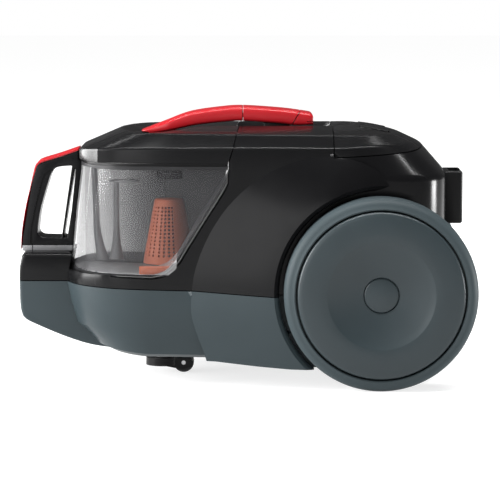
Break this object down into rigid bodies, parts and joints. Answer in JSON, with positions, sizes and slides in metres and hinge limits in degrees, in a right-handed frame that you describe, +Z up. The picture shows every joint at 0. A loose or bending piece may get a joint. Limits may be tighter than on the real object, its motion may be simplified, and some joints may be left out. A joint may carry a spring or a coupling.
{
  "type": "canister vacuum cleaner",
  "caption": "Bagless canister vacuum cleaner with a clear lift-out dust bin, loop handle, top carry handle, large rear wheels and a front caster.",
  "frame": {"origin": "on the floor, in the middle of the machine's length and width", "axes": "+X towards the rear, where the wheels are; the hose inlet faces -X; +Y towards the machine's right wheel node; +Z up"},
  "size_m": [0.4386, 0.28, 0.2613],
  "materials": {
    "slate_plastic": "fine satin texture",
    "black_plastic": "satin gloss",
    "lid_plastic": "satin gloss",
    "dark_plastic": "fine texture",
    "button_plastic": "satin",
    "handle_plastic": "satin with fine ribs",
    "grey_plastic": "moulded",
    "red_plastic": "satin gloss",
    "terracotta_plastic": "moulded, perforated",
    "clear_plastic": "clear smoke-tinted plastic",
    "wheel_rubber": "soft moulded",
    "wheel_plastic": "satin",
    "seal_rubber": "soft",
    "foam": "open-cell foam",
    "filter_paper": "pleated paper",
    "motor_steel": "pressed sheet",
    "bearing_steel": "ground",
    "spring_steel": "drawn wire",
    "copper": "wound and varnished",
    "brush_brass": "pressed",
    "alloy": "pressed",
    "board": "laminate",
    "roller_plastic": "moulded"
  },
  "bodies": {
    "base": {"lower_chassis": "slate_plastic", "upper_housing": "black_plastic", "nose_cover": "black_plastic", "rear_cover": "black_plastic", "hose_socket": "dark_plastic", "inlet_duct": "grey_plastic", "outlet_duct": "grey_plastic", "port_gaskets": "seal_rubber", "filter_housing": "grey_plastic", "motor_prefilter": "foam", "motor_fan_case": "motor_steel", "motor_can": "motor_steel", "motor_stator": "copper", "motor_bearings": "bearing_steel", "motor_mounts": "seal_rubber", "carbon_brushes": "brush_brass", "hepa_filter": "filter_paper", "exhaust_hinge_pin": "bearing_steel", "control_board": "board", "power_switch": "dark_plastic", "brake_pivot": "bearing_steel", "reel_spindle": "bearing_steel", "reel_spring_case": "dark_plastic", "cord_outlet": "seal_rubber", "park_bracket": "dark_plastic", "rear_grip": "red_plastic", "screws": "spring_steel", "left_axle": "bearing_steel", "right_axle": "bearing_steel", "caster_bush": "grey_plastic", "power_spring": "spring_steel", "rewind_spring": "spring_steel", "release_spring": "spring_steel"},
    "rotor": {"motor_shaft": "bearing_steel", "motor_armature": "copper", "motor_impeller": "alloy"},
    "reel": {"reel_drum": "grey_plastic"},
    "brake": {"reel_brake": "grey_plastic"},
    "power_key": {"power_button": "button_plastic"},
    "rewind_key": {"rewind_button": "button_plastic"},
    "release": {"release_button": "red_plastic"},
    "latch": {"latch_rod": "grey_plastic"},
    "exhaust_cover": {"exhaust_door": "black_plastic"},
    "left_wheel": {"left_tyre": "wheel_rubber", "left_disc": "wheel_plastic", "left_hub_cap": "wheel_plastic"},
    "right_wheel": {"right_tyre": "wheel_rubber", "right_disc": "wheel_plastic", "right_hub_cap": "wheel_plastic"},
    "caster": {"caster_fork": "dark_plastic", "caster_axle": "bearing_steel"},
    "roller": {"caster_roller": "roller_plastic"},
    "bin": {"dust_bin": "clear_plastic", "bin_handle": "handle_plastic", "bin_handle_trim": "red_plastic", "bin_seal": "seal_rubber", "cone_filter": "terracotta_plastic", "cyclone_tube": "clear_plastic"},
    "lid": {"bin_lid": "lid_plastic", "front_grip": "red_plastic"}
  },
  "joints": [
    {"name": "rotor_spin", "type": "hinge", "parent": "base", "child": "rotor", "pos_m": [0.07, 0.038, 0.1], "axis": [1, 0, 0], "continuous": true},
    {"name": "reel_spin", "type": "hinge", "parent": "base", "child": "reel", "pos_m": [0.11, -0.06, 0.106], "axis": [0, 1, 0], "continuous": true},
    {"name": "rewind_press", "type": "slide", "parent": "base", "child": "rewind_key", "axis": [0, 0, -1], "range_m": [0, 0.0035], "stiffness_N_per_m": 300, "springref_m": -0.002, "deforming": ["rewind_spring"]},
    {"name": "brake_lever", "type": "hinge", "parent": "base", "child": "brake", "pos_m": [0.1, -0.034, 0.196], "axis": [0, 1, 0], "range_deg": [0, 8.1]},
    {"name": "power_press", "type": "slide", "parent": "base", "child": "power_key", "axis": [0, 0, -1], "range_m": [0, 0.0035], "stiffness_N_per_m": 300, "springref_m": -0.002, "deforming": ["power_spring"]},
    {"name": "release_press", "type": "slide", "parent": "base", "child": "release", "axis": [-0.4666, 0, -0.8845], "range_m": [0, 0.003], "stiffness_N_per_m": 300, "springref_m": -0.002},
    {"name": "latch_slide", "type": "slide", "parent": "base", "child": "latch", "axis": [-1, 0, 0], "range_m": [0, 0.0015], "deforming": ["release_spring"]},
    {"name": "exhaust_hinge", "type": "hinge", "parent": "base", "child": "exhaust_cover", "pos_m": [0.19225, 0, 0.052], "axis": [0, 1, 0], "range_deg": [0, 80]},
    {"name": "left_wheel_spin", "type": "hinge", "parent": "base", "child": "left_wheel", "pos_m": [0.128, -0.12, 0.0913], "axis": [0, 1, 0], "continuous": true},
    {"name": "right_wheel_spin", "type": "hinge", "parent": "base", "child": "right_wheel", "pos_m": [0.128, 0.12, 0.0913], "axis": [0, 1, 0], "continuous": true},
    {"name": "caster_swivel", "type": "hinge", "parent": "base", "child": "caster", "pos_m": [-0.08, 0, 0.02], "axis": [0, 0, 1], "continuous": true},
    {"name": "roller_spin", "type": "hinge", "parent": "caster", "child": "roller", "pos_m": [-0.06, 0, 0.01], "axis": [0, 1, 0], "continuous": true},
    {"name": "bin_lift", "type": "slide", "parent": "base", "child": "bin", "axis": [0, 0, 1], "range_m": [0, 0.25]},
    {"name": "lid_lift", "type": "slide", "parent": "bin", "child": "lid", "axis": [0, 0, 1], "range_m": [0, 0.08]}
  ],
  "couplings": [
    {"joint": "brake_lever", "follows": "rewind_press", "rad_per_m": 40},
    {"joint": "latch_slide", "follows": "release_press", "ratio": 0.4666}
  ]
}
